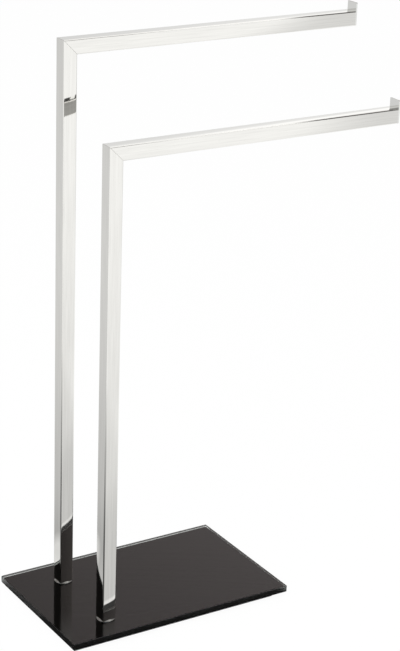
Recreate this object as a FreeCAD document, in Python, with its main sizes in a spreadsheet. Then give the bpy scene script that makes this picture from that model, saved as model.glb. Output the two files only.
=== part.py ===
import FreeCAD, Part
import math
import os
import re
import Sketcher

# Freestanding towel stand: two mitred frames of square tube, one tall and one short, each
# bolted through a glass base plate from below. Millimetres, +Z up. The origin is on the
# floor, under the middle of the stand's outline seen from above. +X is the way the arms
# point, and -Y is the front, where the short frame stands.

os.makedirs("parts", exist_ok=True)
doc = FreeCAD.newDocument("towel_stand")

SIZES = {
    # square tube of posts and arms
    "tube_side": 22,
    "tube_wall": 1.2,
    "tube_inner_radius": 0.3,
    "seam_radius": 0.3,
    # frames: heights are from the glass to the top of the arm,
    # lengths from the post's outer face to the stop's outer face
    "tall_frame_height": 834,
    "short_frame_height": 717,
    "tall_arm_length": 493,
    "short_arm_length": 482,
    # plate that closes the end of an arm and stands above it
    "stop_thickness": 2,
    "stop_rise": 13,
    "stop_edge_radius": 0.4,
    # glass base plate and the black coat under it
    "glass_width": 368,
    "glass_depth": 235,
    "glass_thickness": 10,
    "glass_corner_radius": 2.5,
    "glass_arris": 0.8,
    "glass_hole_diameter": 13,
    "coat_thickness": 0.2,
    "coat_margin": 1.2,
    # where the posts stand: their axes from the plate's left, back and front edges
    "posts_left_inset": 77,
    "tall_post_back_inset": 57,
    "short_post_front_inset": 46,
    # rubber feet
    "foot_height": 7.8,
    "foot_base_diameter": 20,
    "foot_top_diameter": 23,
    "foot_edge_radius": 1.2,
    "foot_inset": 34,
    # gasket and washer between glass and post
    "post_gasket_diameter": 25.6,
    "post_gasket_thickness": 0.5,
    "post_washer_diameter": 26.6,
    "post_washer_thickness": 2,
    "post_washer_bevel": 1.6,
    # gasket and washer under the plate
    "clamp_gasket_diameter": 25,
    "clamp_gasket_thickness": 1,
    "clamp_washer_diameter": 24,
    "clamp_washer_thickness": 1.6,
    # bolt and its sleeve in the glass
    "bolt_diameter": 8,
    "bolt_engagement": 14.7,
    "bolt_tip_chamfer": 1,
    "bolt_hole_clearance": 0.3,
    "head_diameter": 14,
    "head_height": 4.4,
    "head_crown_radius": 3.4,
    "socket_width": 5,
    "socket_depth": 2.6,
    "sleeve_clearance": 0.2,
    # threaded plug in the foot of the post, and the key in the mitred corner, whose legs
    # are measured from where the tubes' centre lines meet
    "plug_height": 20,
    "thread_clearance": 0.05,
    "key_leg": 45,
    "block_clearance": 0.1,
    "block_edge_relief": 0.4,
    # how far a cut runs past what it cuts
    "cut_overrun": 4,
}

sheet = doc.addObject("Spreadsheet::Sheet", "Sizes")
for row, (size_name, value) in enumerate(SIZES.items(), start=1):
    sheet.set(f"A{row}", size_name)
    sheet.set(f"B{row}", str(value))
    sheet.setAlias(f"B{row}", size_name)
doc.recompute()

# Lengths and places worked out from the sheet, as formulas over its names
TUBE_RADIUS = "(tube_inner_radius + tube_wall)"
TUBE_BORE = "(tube_side - 2 * tube_wall)"
BLOCK_SIDE = f"({TUBE_BORE} - 2 * block_clearance)"
BLOCK_RADIUS = "(tube_inner_radius + block_edge_relief)"
BOLT_HOLE = "(bolt_diameter + 2 * bolt_hole_clearance)"
COAT_Z = "foot_height"
GLASS_Z = "(foot_height + coat_thickness)"
PLATE_BUILD = "(coat_thickness + glass_thickness)"
GLASS_TOP = f"(foot_height + {PLATE_BUILD})"
POST_STAND_OFF = "(post_gasket_thickness + post_washer_thickness)"
CLAMP_STACK = "(clamp_gasket_thickness + clamp_washer_thickness)"
LONGER_ARM = "max(tall_arm_length; short_arm_length)"
OUTLINE_WIDTH = f"max(glass_width; posts_left_inset - tube_side / 2 + {LONGER_ARM})"
LEFT_EDGE = f"(-{OUTLINE_WIDTH} / 2)"
PLATE_X = f"({LEFT_EDGE} + glass_width / 2)"
POSTS_X = f"({LEFT_EDGE} + posts_left_inset)"
TALL_POST_Y = "(glass_depth / 2 - tall_post_back_inset)"
SHORT_POST_Y = "(short_post_front_inset - glass_depth / 2)"

Z_AXIS = FreeCAD.Vector(0, 0, 1)
ORIGIN = FreeCAD.Vector(0, 0, 0)
SAME = 1e-5


def formula(words):
    """Put the sheet's name before each size in a formula."""
    return re.sub(r"[a-z_]+", lambda found: named_in_sheet(found.group(0)), words)


def named_in_sheet(word):
    return f"Sizes.{word}" if word in SIZES else word


def bind(thing, prop, words):
    thing.setExpression(prop, formula(words))


sub_parts = []


def new_body(node, x, y, z):
    """A sub-part of its own, placed by three formulas."""
    body = doc.addObject("PartDesign::Body", node)
    body.Label = node
    bind(body, "Placement.Base.x", x)
    bind(body, "Placement.Base.y", y)
    bind(body, "Placement.Base.z", z)
    sub_parts.append(body)
    return body


def new_sketch(body, name, role, offset=None):
    """A sketch on one of the body's own origin planes, moved along its normal by offset."""
    sketch = body.newObject("Sketcher::SketchObject", name)
    plane = next(item for item in body.Origin.OriginFeatures if item.Role == role)
    sketch.AttachmentSupport = [(plane, "")]
    sketch.MapMode = "FlatFace"
    if offset:
        bind(sketch, "AttachmentOffset.Base.z", offset)
    return sketch


def constrain(sketch, *terms):
    return sketch.addConstraint(Sketcher.Constraint(*terms))


def dimension(sketch, words, *terms):
    """A driving dimension, bound to a formula."""
    bind(sketch, f"Constraints[{constrain(sketch, *terms)}]", words)


def draw_circle(sketch, diameter):
    """A circle round the sketch's origin."""
    circle = sketch.addGeometry(Part.Circle(ORIGIN, Z_AXIS, 5))
    constrain(sketch, "Coincident", circle, 3, -1, 1)
    dimension(sketch, diameter, "Diameter", circle, 10)


def draw_line(sketch, start, end):
    return sketch.addGeometry(Part.LineSegment(FreeCAD.Vector(*start, 0), FreeCAD.Vector(*end, 0)))


def draw_rounded_rectangle(sketch, width, height, radius, below=None):
    """A rectangle with rounded corners, centred on the origin or reaching below it by a size."""
    half, corner = 40, 5
    inner = half - corner
    arcs = []
    for turn, (x_sign, y_sign) in enumerate(((1, 1), (-1, 1), (-1, -1), (1, -1))):
        circle = Part.Circle(FreeCAD.Vector(x_sign * inner, y_sign * inner, 0), Z_AXIS, corner)
        arc = Part.ArcOfCircle(circle, turn * math.pi / 2, (turn + 1) * math.pi / 2)
        arcs.append(sketch.addGeometry(arc))
    top = draw_line(sketch, (inner, half), (-inner, half))
    left = draw_line(sketch, (-half, inner), (-half, -inner))
    bottom = draw_line(sketch, (-inner, -half), (inner, -half))
    right = draw_line(sketch, (half, -inner), (half, inner))
    for side, line in enumerate((top, left, bottom, right)):
        constrain(sketch, "Tangent", arcs[side], 2, line, 1)
        constrain(sketch, "Tangent", line, 2, arcs[(side + 1) % 4], 1)
    for line in (top, bottom):
        constrain(sketch, "Horizontal", line)
    for line in (left, right):
        constrain(sketch, "Vertical", line)
    for arc in arcs[1:]:
        constrain(sketch, "Equal", arcs[0], arc)
    dimension(sketch, radius, "Radius", arcs[0], corner)
    dimension(sketch, width, "DistanceX", left, 1, right, 1, 2 * half)
    dimension(sketch, height, "DistanceY", bottom, 1, top, 1, 2 * half)
    if below:
        dimension(sketch, f"({width} / 2)", "DistanceX", -1, 1, right, 1, half)
        dimension(sketch, below, "DistanceY", bottom, 1, -1, 1, half)
    else:
        constrain(sketch, "Symmetric", arcs[0], 3, arcs[2], 3, -1, 1)


def draw_mitre_cut(sketch, side, x, z):
    """A right triangle with a 45 degree slope; side is 1 or -1, its square corner is at x and z."""
    far, near = side * 20, -side * 20
    level = draw_line(sketch, (far, far), (near, far))
    slope = draw_line(sketch, (near, far), (far, near))
    upright = draw_line(sketch, (far, near), (far, far))
    constrain(sketch, "Coincident", level, 2, slope, 1)
    constrain(sketch, "Coincident", slope, 2, upright, 1)
    constrain(sketch, "Coincident", upright, 2, level, 1)
    constrain(sketch, "Horizontal", level)
    constrain(sketch, "Vertical", upright)
    constrain(sketch, "Equal", level, upright)
    dimension(sketch, "(tube_side + 2 * cut_overrun)", "Distance", level, 40)
    dimension(sketch, x, "DistanceX", -1, 1, level, 1, far)
    dimension(sketch, z, "DistanceY", -1, 1, level, 1, far)


def draw_hexagon(sketch, width):
    """A hexagon round the origin, width across its flats."""
    rim = sketch.addGeometry(Part.Circle(ORIGIN, Z_AXIS, 3), True)
    constrain(sketch, "Coincident", rim, 3, -1, 1)
    dimension(sketch, f"{width} / cos(30)", "Diameter", rim, 6)
    corners = [(3 * math.cos(turn * math.pi / 3), 3 * math.sin(turn * math.pi / 3)) for turn in range(6)]
    flats = [draw_line(sketch, corners[i], corners[(i + 1) % 6]) for i in range(6)]
    for i, flat in enumerate(flats):
        constrain(sketch, "Coincident", flat, 2, flats[(i + 1) % 6], 1)
        constrain(sketch, "PointOnObject", flat, 1, rim)
    for flat in flats[2:]:
        constrain(sketch, "Equal", flats[1], flat)
    constrain(sketch, "Horizontal", flats[1])


def draw_tube_section(sketch):
    draw_rounded_rectangle(sketch, "tube_side", "tube_side", TUBE_RADIUS)
    draw_rounded_rectangle(sketch, TUBE_BORE, TUBE_BORE, "tube_inner_radius")


def draw_bolt_holes(sketch):
    """Two holes in the plate's own frame, one under each post."""
    for post_y in (TALL_POST_Y, SHORT_POST_Y):
        hole = sketch.addGeometry(Part.Circle(ORIGIN, Z_AXIS, 5))
        dimension(sketch, "glass_hole_diameter", "Diameter", hole, 10)
        dimension(sketch, "(posts_left_inset - glass_width / 2)", "DistanceX", -1, 1, hole, 3, 1)
        dimension(sketch, post_y, "DistanceY", -1, 1, hole, 3, 1)


def pad(body, name, sketch, length, downwards=False):
    feature = body.newObject("PartDesign::Pad", name)
    feature.Profile = sketch
    feature.Reversed = downwards
    bind(feature, "Length", length)
    doc.recompute()
    return feature


def cut(body, name, sketch, depth=None):
    """A pocket right through on both sides of the sketch, or up into the body by depth."""
    before = body.Shape.Volume
    feature = body.newObject("PartDesign::Pocket", name)
    feature.Profile = sketch
    if depth:
        feature.Reversed = True
        bind(feature, "Length", depth)
    else:
        feature.SideType = "Symmetric"
        feature.Type = "ThroughAll"
    doc.recompute()
    if feature.Shape.Volume > before - SAME:
        raise RuntimeError(f"{name} of {body.Label} cuts nothing")
    return feature


def dress(body, kind, name, base, wanted, amount):
    """A chamfer or fillet along the edges of the base feature that pass a test."""
    edges = [f"Edge{i}" for i, edge in enumerate(base.Shape.Edges, start=1) if wanted(edge)]
    if not edges:
        raise RuntimeError(f"{name} of {body.Label} finds no edge")
    feature = body.newObject(f"PartDesign::{kind}", name)
    feature.Base = (base, edges)
    bind(feature, "Size" if kind == "Chamfer" else "Radius", amount)
    doc.recompute()
    return feature


def level_at(*heights):
    """Passes edges that lie level at one of the heights, in the body's own frame."""

    def passes(edge):
        low, high = edge.BoundBox.ZMin, edge.BoundBox.ZMax
        return any(abs(low - z) < SAME and abs(high - z) < SAME for z in heights)

    return passes


def outline_towards(base, *normals):
    """Passes edges on the outer outline of the flat faces that point along the normals."""
    rims = []
    for face in base.Shape.Faces:
        for normal in normals:
            direction = FreeCAD.Vector(*normal).normalize()
            if isinstance(face.Surface, Part.Plane) and (face.normalAt(0, 0) - direction).Length < SAME:
                rims.extend(face.OuterWire.Edges)
    return lambda edge: any(edge.isSame(item) for item in rims)


def make_ring(node, place, outer, inner, thickness):
    """A washer, gasket or sleeve: a flat ring that stands on its place."""
    body = new_body(node, *place)
    section = new_sketch(body, node + "_section", "XY_Plane")
    draw_circle(section, outer)
    draw_circle(section, inner)
    return body, pad(body, node + "_ring", section, thickness)


# Glass base plate: toughened glass with two holes for the bolts and a narrow polished
# chamfer, the arris, along every edge.
plate = new_body("glass_base_plate", PLATE_X, "0", GLASS_Z)
plate_outline = new_sketch(plate, "plate_outline", "XY_Plane")
draw_rounded_rectangle(plate_outline, "glass_width", "glass_depth", "glass_corner_radius")
slab = pad(plate, "plate_slab", plate_outline, "glass_thickness")
plate_holes = new_sketch(plate, "plate_holes", "XY_Plane")
draw_bolt_holes(plate_holes)
drilled = cut(plate, "plate_drilling", plate_holes)
both_faces = level_at(slab.Shape.BoundBox.ZMin, slab.Shape.BoundBox.ZMax)
dress(plate, "Chamfer", "plate_arris", drilled, both_faces, "glass_arris")

# Black coat: the thin opaque layer on the underside of the glass, kept back from its edges.
coat = new_body("black_back_coat", PLATE_X, "0", COAT_Z)
coat_outline = new_sketch(coat, "coat_outline", "XY_Plane")
coat_width = "(glass_width - 2 * coat_margin)"
coat_depth = "(glass_depth - 2 * coat_margin)"
draw_rounded_rectangle(coat_outline, coat_width, coat_depth, "glass_corner_radius")
pad(coat, "coat_layer", coat_outline, "coat_thickness")
coat_holes = new_sketch(coat, "coat_holes", "XY_Plane")
draw_bolt_holes(coat_holes)
cut(coat, "coat_opening", coat_holes)


# Rubber feet: four short cones that widen upwards, stuck under the coat near its corners.
def make_foot(node, x_sign, y_sign):
    foot_x = f"({PLATE_X} + {x_sign} * (glass_width / 2 - foot_inset))"
    foot_y = f"({y_sign} * (glass_depth / 2 - foot_inset))"
    body = new_body(node, foot_x, foot_y, "0")
    cone = body.newObject("PartDesign::AdditiveCone", node + "_cone")
    bind(cone, "Radius1", "foot_base_diameter / 2")
    bind(cone, "Radius2", "foot_top_diameter / 2")
    bind(cone, "Height", "foot_height")
    doc.recompute()
    dress(body, "Fillet", node + "_edge", cone, level_at(0), "foot_edge_radius")


for depth_word, y_sign in (("front", -1), ("back", 1)):
    for side_word, x_sign in (("left", -1), ("right", 1)):
        make_foot(f"rubber_foot_{depth_word}_{side_word}", x_sign, y_sign)


# Post: a square tube, cut off at 45 degrees at the top. The polish has rounded the outer
# edge of the cut, so that the closed corner shows a fine seam.
def make_post(frame, y, height):
    post_z = f"({GLASS_TOP} + {POST_STAND_OFF})"
    post_length = f"({height} - {POST_STAND_OFF})"
    body = new_body(frame + "_post", POSTS_X, y, post_z)
    section = new_sketch(body, frame + "_post_section", "XY_Plane")
    draw_tube_section(section)
    pad(body, frame + "_post_tube", section, post_length)
    mitre = new_sketch(body, frame + "_post_mitre", "XZ_Plane")
    draw_mitre_cut(mitre, 1, "(tube_side / 2 + cut_overrun)", f"({post_length} + cut_overrun)")
    mitred = cut(body, frame + "_post_mitring", mitre)
    seam = outline_towards(mitred, (1, 0, 1))
    dress(body, "Fillet", frame + "_post_seam", mitred, seam, "seam_radius")


# Arm: the same tube, mitred to the top of the post, as far as the stop.
def make_arm(frame, place, length):
    body = new_body(frame + "_arm", *place)
    section = new_sketch(body, frame + "_arm_section", "YZ_Plane", "(-tube_side / 2)")
    draw_tube_section(section)
    pad(body, frame + "_arm_tube", section, f"({length} - stop_thickness)")
    mitre = new_sketch(body, frame + "_arm_mitre", "XZ_Plane")
    cut_corner = "(-tube_side / 2 - cut_overrun)"
    draw_mitre_cut(mitre, -1, cut_corner, cut_corner)
    mitred = cut(body, frame + "_arm_mitring", mitre)
    seam = outline_towards(mitred, (-1, 0, -1))
    dress(body, "Fillet", frame + "_arm_seam", mitred, seam, "seam_radius")


# Stop: a flat plate that closes the end of the arm and stands up above it, so that a
# towel can't slide off.
def make_stop(frame, place, length):
    body = new_body(frame + "_arm_stop", *place)
    inner_face = f"({length} - stop_thickness - tube_side / 2)"
    outline = new_sketch(body, frame + "_stop_outline", "YZ_Plane", inner_face)
    stop_height = "(tube_side + stop_rise)"
    draw_rounded_rectangle(outline, "tube_side", stop_height, TUBE_RADIUS, "(tube_side / 2)")
    plate = pad(body, frame + "_stop_plate", outline, "stop_thickness")
    rim = outline_towards(plate, (1, 0, 0), (-1, 0, 0))
    dress(body, "Fillet", frame + "_stop_rim", plate, rim, "stop_edge_radius")


# Corner key: an L-shaped block with one leg in each tube, which holds the mitre closed.
def make_corner_key(frame, place):
    body = new_body(frame + "_corner_key", *place)
    path = new_sketch(body, frame + "_key_path", "XZ_Plane")
    upright = draw_line(path, (0, -20), (0, 0))
    level = draw_line(path, (0, 0), (20, 0))
    constrain(path, "Coincident", upright, 2, -1, 1)
    constrain(path, "Coincident", level, 1, -1, 1)
    constrain(path, "Vertical", upright)
    constrain(path, "Horizontal", level)
    dimension(path, "key_leg", "Distance", upright, 20)
    dimension(path, "key_leg", "Distance", level, 20)
    section = new_sketch(body, frame + "_key_section", "XY_Plane", "(-key_leg)")
    draw_rounded_rectangle(section, BLOCK_SIDE, BLOCK_SIDE, BLOCK_RADIUS)
    doc.recompute()
    bent = body.newObject("PartDesign::AdditivePipe", frame + "_key_legs")
    bent.Profile = section
    bent.Spine = (path, ["Edge1", "Edge2"])
    bent.Transition = "Right corner"
    doc.recompute()


# Foot plug: the threaded block that closes the foot of the post and takes the bolt.
def make_foot_plug(frame, y):
    body = new_body(frame + "_foot_plug", POSTS_X, y, f"({GLASS_TOP} + {POST_STAND_OFF})")
    section = new_sketch(body, frame + "_plug_section", "XY_Plane")
    draw_rounded_rectangle(section, BLOCK_SIDE, BLOCK_SIDE, BLOCK_RADIUS)
    draw_circle(section, "(bolt_diameter + 2 * thread_clearance)")
    block = pad(body, frame + "_plug_block", section, "plug_height")
    lead = outline_towards(block, (0, 0, 1))
    dress(body, "Chamfer", frame + "_plug_lead", block, lead, "block_edge_relief")


# Rings round the bolt: a soft gasket and a polished washer between glass and post, a
# sleeve that keeps the bolt off the glass, and a gasket and a wide washer under the plate.
def make_rings(frame, y):
    on_glass = (POSTS_X, y, GLASS_TOP)
    make_ring(
        frame + "_post_gasket", on_glass, "post_gasket_diameter", BOLT_HOLE, "post_gasket_thickness"
    )
    on_gasket = (POSTS_X, y, f"({GLASS_TOP} + post_gasket_thickness)")
    washer, ring = make_ring(
        frame + "_post_washer", on_gasket, "post_washer_diameter", BOLT_HOLE, "post_washer_thickness"
    )
    rim = outline_towards(ring, (0, 0, 1))
    dress(washer, "Chamfer", frame + "_washer_rim", ring, rim, "post_washer_bevel")
    in_plate = (POSTS_X, y, COAT_Z)
    sleeve = "(glass_hole_diameter - 2 * sleeve_clearance)"
    make_ring(frame + "_bolt_sleeve", in_plate, sleeve, BOLT_HOLE, PLATE_BUILD)
    under_coat = (POSTS_X, y, f"({COAT_Z} - clamp_gasket_thickness)")
    make_ring(
        frame + "_clamp_gasket", under_coat, "clamp_gasket_diameter", BOLT_HOLE, "clamp_gasket_thickness"
    )
    under_gasket = (POSTS_X, y, f"({COAT_Z} - {CLAMP_STACK})")
    make_ring(
        frame + "_clamp_washer", under_gasket, "clamp_washer_diameter", BOLT_HOLE, "clamp_washer_thickness"
    )


# Bolt: a button-head screw with a hexagon socket, from under the plate up into the plug.
def make_bolt(frame, y):
    body = new_body(frame + "_post_bolt", POSTS_X, y, f"({COAT_Z} - {CLAMP_STACK})")
    shank_section = new_sketch(body, frame + "_shank_section", "XY_Plane")
    draw_circle(shank_section, "bolt_diameter")
    shank_length = f"({CLAMP_STACK} + {PLATE_BUILD} + {POST_STAND_OFF} + bolt_engagement)"
    shank = pad(body, frame + "_shank", shank_section, shank_length)
    tip = outline_towards(shank, (0, 0, 1))
    dress(body, "Chamfer", frame + "_shank_tip", shank, tip, "bolt_tip_chamfer")
    head_section = new_sketch(body, frame + "_head_section", "XY_Plane")
    draw_circle(head_section, "head_diameter")
    head = pad(body, frame + "_head", head_section, "head_height", downwards=True)
    crown = outline_towards(head, (0, 0, -1))
    dress(body, "Fillet", frame + "_head_crown", head, crown, "head_crown_radius")
    socket_section = new_sketch(body, frame + "_socket_section", "XY_Plane", "(-head_height)")
    draw_hexagon(socket_section, "socket_width")
    cut(body, frame + "_socket", socket_section, "socket_depth")


# The two frames, each with what fastens it to the plate
for frame, y, height, length in (
    ("tall", TALL_POST_Y, "tall_frame_height", "tall_arm_length"),
    ("short", SHORT_POST_Y, "short_frame_height", "short_arm_length"),
):
    corner = (POSTS_X, y, f"({GLASS_TOP} + {height} - tube_side / 2)")
    make_post(frame, y, height)
    make_arm(frame, corner, length)
    make_stop(frame, corner, length)
    make_corner_key(frame, corner)
    make_foot_plug(frame, y)
    make_rings(frame, y)
    make_bolt(frame, y)

# Every feature has to be sound before a file is written.
doc.recompute()
for item in doc.Objects:
    if "Invalid" in item.State or "Error" in item.State:
        raise RuntimeError(f"{item.Label} failed: {item.State}")
for body in sub_parts:
    if body.Shape.isNull() or not body.Shape.isValid() or len(body.Shape.Solids) != 1:
        raise RuntimeError(f"{body.Label} is not one sound solid")
for body in sub_parts:
    body.Shape.exportStep(f"parts/{body.Label}.step")
    print(f"{body.Label}: {body.Shape.Volume / 1000:.2f} cm3")
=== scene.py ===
import math

import bmesh
import bpy
from mathutils import Matrix, Vector
from mathutils.geometry import tessellate_polygon


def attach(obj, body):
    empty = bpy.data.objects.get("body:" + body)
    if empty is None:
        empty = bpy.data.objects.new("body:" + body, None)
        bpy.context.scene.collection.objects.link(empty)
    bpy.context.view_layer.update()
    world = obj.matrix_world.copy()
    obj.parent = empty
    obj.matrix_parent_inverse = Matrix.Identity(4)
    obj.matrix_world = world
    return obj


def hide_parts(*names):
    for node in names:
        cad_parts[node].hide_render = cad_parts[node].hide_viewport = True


# A freestanding towel stand: a tall and a shorter frame of chromed square tube, each with a
# level arm, bolted to a black-backed glass plate on rubber feet. The stand's lengths are
# written in millimetres and turned to metres by MM; the studio is laid out in metres.

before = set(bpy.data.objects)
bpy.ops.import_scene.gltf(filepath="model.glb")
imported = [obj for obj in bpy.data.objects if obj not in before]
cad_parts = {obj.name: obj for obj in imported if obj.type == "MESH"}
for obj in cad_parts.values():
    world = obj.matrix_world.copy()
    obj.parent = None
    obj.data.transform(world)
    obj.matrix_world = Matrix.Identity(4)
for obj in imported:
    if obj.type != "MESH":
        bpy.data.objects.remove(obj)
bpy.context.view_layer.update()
MM = 0.001

# ----------------------------
# Rubber feet. Four feet of black rubber, moulded under pressure and glued below the plate
# near its corners. Each widens upwards and has rings in its sole that grip a wet floor.
# ----------------------------


def linear(hex_code):
    """The linear colour of an sRGB hex value."""
    parts = [int(hex_code[i : i + 2], 16) / 255 for i in (1, 3, 5)]
    curved = [((c + 0.055) / 1.055) ** 2.4 if c > 0.04045 else c / 12.92 for c in parts]
    return (*curved, 1.0)


def set_inputs(tree, node, inputs):
    """Gives each input of a node a value, a socket or another node's first output."""
    for name, value in inputs.items():
        if isinstance(value, bpy.types.Node):
            value = value.outputs[0]
        if isinstance(value, bpy.types.NodeSocket):
            tree.links.new(value, node.inputs[name])
        else:
            node.inputs[name].default_value = value


def add_node(tree, kind, inputs=None, **settings):
    """A node with its settings and inputs.

    A colour mix takes its share at input 0 and its two colours at 6 and 7, and gives one at
    output 2. The scale of a pattern is written as so many of its grains per millimetre.
    """
    node = tree.nodes.new(kind)
    for name, value in settings.items():
        setattr(node, name, value)
    set_inputs(tree, node, inputs or {})
    return node


def start_material(name, colour, values):
    """A material with plain values on its shader; gives it, its node tree and the shader."""
    material = bpy.data.materials.new(name)
    material.use_nodes = True
    shader = material.node_tree.nodes["Principled BSDF"]
    set_inputs(material.node_tree, shader, {"Base Color": linear(colour), **values})
    return material, material.node_tree, shader


def start_tree(name, inputs):
    """A geometry tree with named inputs, the last one a material; gives it and its inputs."""
    tree = bpy.data.node_groups.new(name, "GeometryNodeTree")
    for label, kind in {"Geometry": "Geometry", **inputs, "Material": "Material"}.items():
        tree.interface.new_socket(label, in_out="INPUT", socket_type="NodeSocket" + kind)
    tree.interface.new_socket("Geometry", in_out="OUTPUT", socket_type="NodeSocketGeometry")
    return tree, add_node(tree, "NodeGroupInput").outputs


def finish_tree(tree, given, mesh):
    """Notes each point's place in the piece's own frame, adds the material and ends the tree."""
    place = add_node(tree, "GeometryNodeInputPosition")
    noted = add_node(
        tree,
        "GeometryNodeStoreNamedAttribute",
        {"Geometry": mesh, "Name": "own_place", "Value": place},
        data_type="FLOAT_VECTOR",
    )
    real = add_node(tree, "GeometryNodeRealizeInstances", {"Geometry": noted})
    painted = add_node(tree, "GeometryNodeSetMaterial", {"Geometry": real, "Material": given["Material"]})
    add_node(tree, "NodeGroupOutput", {"Geometry": painted})


def add_object(name, data):
    """An object in the scene that holds a mesh, a lamp or a camera."""
    made = bpy.data.objects.new(name, data)
    bpy.context.scene.collection.objects.link(made)
    return made


def plain_mesh(carrier):
    """The mesh that an object's modifiers make of it; the object itself goes."""
    made = carrier.evaluated_get(bpy.context.evaluated_depsgraph_get())
    data = bpy.data.meshes.new_from_object(made)
    bpy.data.objects.remove(carrier)
    return data


def grow(tree, base, settings):
    """Runs a tree on a base mesh, with its inputs set by name, and gives the mesh it makes."""
    carrier = add_object(base.name, base)
    modifier = carrier.modifiers.new(tree.name, "NODES")
    modifier.node_group = tree
    for item in tree.interface.items_tree:
        if item.in_out == "INPUT" and item.name in settings:
            modifier[item.identifier] = settings[item.name]
    data = plain_mesh(carrier)
    data.materials.clear()
    data.materials.append(settings["Material"])
    data.polygons.foreach_set("material_index", [0] * len(data.polygons))
    return data


def place_piece(name, data, place, sharp_degrees, node):
    """Moves a finished mesh to its place and shows it there instead of a CAD node."""
    data.transform(Matrix.Translation(Vector(place) * MM))
    data.shade_smooth()
    data.set_sharp_from_angle(angle=math.radians(sharp_degrees))
    piece = add_object(name, data)
    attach(piece, "root")
    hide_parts(node)


def half_section(name, corners, ring=False, steps=4):
    """A line through corners of (radius, height, rounding): from the axis and back, or a ring's."""
    flat = [Vector(corner[:2]) * MM for corner in corners]
    line = []
    for i, corner in enumerate(corners):
        here, radius = flat[i], corner[2] * MM
        if not radius:
            line.append(here)
            continue
        back = (flat[i - 1] - here).normalized()
        on = (flat[(i + 1) % len(flat)] - here).normalized()
        half_angle = back.angle(on) / 2
        centre = here + (back + on).normalized() * radius / math.sin(half_angle)
        start = here + back * radius / math.tan(half_angle) - centre
        end = here + on * radius / math.tan(half_angle) - centre
        bend = math.copysign(math.pi - 2 * half_angle, start.cross(end))
        line += [centre + Matrix.Rotation(bend * step / steps, 2) @ start for step in range(steps + 1)]
    if ring:
        line.append(line[0])
    data = bpy.data.meshes.new(name)
    data.from_pydata([(p.x, 0, p.y) for p in line], [(i, i + 1) for i in range(len(line) - 1)], [])
    return data


# A turned piece: its half section is carried round the upright axis and closed on itself.
turned_piece, given = start_tree("turned_piece", {"Steps": "Int"})
line = add_node(turned_piece, "GeometryNodeAttributeDomainSize", {"Geometry": given["Geometry"]})
rows = line.outputs["Point Count"]
columns = add_node(turned_piece, "ShaderNodeMath", {0: given["Steps"], 1: 1.0}, operation="ADD")
grid = add_node(turned_piece, "GeometryNodeMeshGrid", {"Vertices X": columns, "Vertices Y": rows})
index = add_node(turned_piece, "GeometryNodeInputIndex")
row = add_node(turned_piece, "ShaderNodeMath", {0: index, 1: rows}, operation="FLOORED_MODULO")
column = add_node(turned_piece, "ShaderNodeMath", {0: index, 1: rows}, operation="DIVIDE")
column = add_node(turned_piece, "ShaderNodeMath", {0: column}, operation="FLOOR")
turn = add_node(turned_piece, "ShaderNodeMath", {0: column, 1: given["Steps"]}, operation="DIVIDE")
angle = add_node(turned_piece, "ShaderNodeMath", {0: turn, 1: math.tau}, operation="MULTIPLY")
place = add_node(turned_piece, "GeometryNodeInputPosition")
point = add_node(
    turned_piece,
    "GeometryNodeSampleIndex",
    {"Geometry": given["Geometry"], "Value": place, "Index": row},
    data_type="FLOAT_VECTOR",
)
spun = add_node(
    turned_piece, "ShaderNodeVectorRotate", {"Vector": point, "Angle": angle}, rotation_type="Z_AXIS"
)
round_mesh = add_node(turned_piece, "GeometryNodeSetPosition", {"Geometry": grid, "Position": spun})
closed = add_node(
    turned_piece, "GeometryNodeMergeByDistance", {"Geometry": round_mesh, "Distance": 0.002 * MM}
)
finish_tree(turned_piece, given, closed)

# Moulded rubber: dead matt black, with the fine grain of an eroded mould, here about 0.5 mm,
# and a faint grey bloom that comes and goes over a few millimetres.
rubber, tree, shader = start_material("moulded_black_rubber", "#1A1918", {"Roughness": 0.8, "IOR": 1.52})
place = add_node(tree, "ShaderNodeTexCoord").outputs["Object"]
bloom = add_node(tree, "ShaderNodeTexNoise", {"Vector": place, "Scale": 0.18 / MM, "Detail": 2})
tone = add_node(
    tree, "ShaderNodeMix", {0: bloom, 6: linear("#151413"), 7: linear("#262422")}, data_type="RGBA"
)
grain = add_node(tree, "ShaderNodeTexNoise", {"Vector": place, "Scale": 2 / MM, "Detail": 3})
relief = add_node(tree, "ShaderNodeBump", {"Height": grain, "Strength": 0.5, "Distance": 0.03 * MM})
set_inputs(tree, shader, {"Base Color": tone.outputs[2], "Normal": relief})

FOOT_HEIGHT, FOOT_BASE, FOOT_TOP, FOOT_EDGE, FOOT_RIM = 7.8, 20, 23, 1.2, 0.2
FEET_X, FEET_Y = {"left": -245.5, "right": 54.5}, {"front": -83.5, "back": 83.5}
GRIP_RINGS, GRIP_DEPTH, GRIP_WIDTH, GRIP_SLOPE, GRIP_EDGE = (2.6, 4.7, 6.8), 0.35, 0.5, 0.2, 0.05
ROUND_STEPS, TURNED_SHARP = 64, 35

sole = [(0, 0, 0)]
for radius in GRIP_RINGS:
    inner, outer = radius - GRIP_WIDTH / 2, radius + GRIP_WIDTH / 2
    sole += [(inner - GRIP_SLOPE, 0, GRIP_EDGE), (inner, GRIP_DEPTH, GRIP_EDGE)]
    sole += [(outer, GRIP_DEPTH, GRIP_EDGE), (outer + GRIP_SLOPE, 0, GRIP_EDGE)]
sole += [(FOOT_BASE / 2, 0, FOOT_EDGE), (FOOT_TOP / 2, FOOT_HEIGHT, FOOT_RIM), (0, FOOT_HEIGHT, 0)]
for depth_word, foot_y in FEET_Y.items():
    for side_word, foot_x in FEET_X.items():
        section = half_section("moulded_foot", sole)
        data = grow(turned_piece, section, {"Steps": ROUND_STEPS, "Material": rubber})
        name = f"moulded_foot_{depth_word}_{side_word}"
        node = f"rubber_foot_{depth_word}_{side_word}"
        place_piece(name, data, (foot_x, foot_y, 0), TURNED_SHARP, node)

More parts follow.
